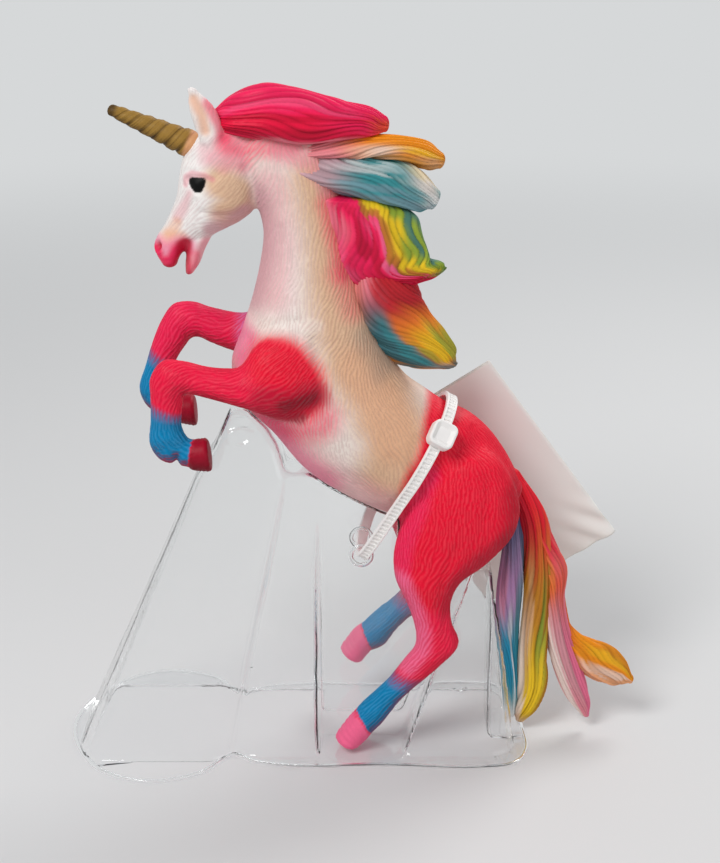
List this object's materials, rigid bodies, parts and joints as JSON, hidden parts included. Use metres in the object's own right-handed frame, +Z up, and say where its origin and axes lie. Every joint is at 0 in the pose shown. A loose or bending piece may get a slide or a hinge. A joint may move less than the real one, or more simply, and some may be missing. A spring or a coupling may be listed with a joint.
{
  "type": "unicorn figurine",
  "caption": "Rearing unicorn figurine with a flowing rainbow mane and tail, held on a clear moulded stand by a cable tie that carries a bare folded paper tag",
  "frame": {"origin": "middle of the overall box in plan, on the table under the stand's flange", "axes": "+Z up; the unicorn faces -X; its left side, which the picture shows, is -Y"},
  "size_m": [0.1324, 0.052, 0.1507],
  "materials": {
    "body_paint": "satin airbrushed paint on flexible plastic",
    "head_paint": "satin airbrushed paint on flexible plastic",
    "horn_paint": "dull gold-brown paint",
    "leg_paint": "satin airbrushed paint on flexible plastic",
    "mane_paint": "satin rainbow airbrush",
    "tail_paint": "satin rainbow airbrush",
    "clear_sheet": "clear gloss",
    "nylon": "natural nylon",
    "paper": "coated paper"
  },
  "bodies": {
    "figure": {"body": "body_paint", "head": "head_paint", "horn": "horn_paint", "left_foreleg": "leg_paint", "right_foreleg": "leg_paint", "left_hind_leg": "leg_paint", "right_hind_leg": "leg_paint", "mane_upper": "mane_paint", "mane_lower": "mane_paint", "tail": "tail_paint", "clear_stand": "clear_sheet", "cable_tie": "nylon"},
    "tag": {"hang_tag": "paper"}
  },
  "joints": [
    {"name": "tag_swing", "type": "hinge", "parent": "figure", "child": "tag", "pos_m": [0.01497, 0.01543, 0.06932], "axis": [0, -0.9869, -0.1615], "range_deg": [0, 40]}
  ]
}
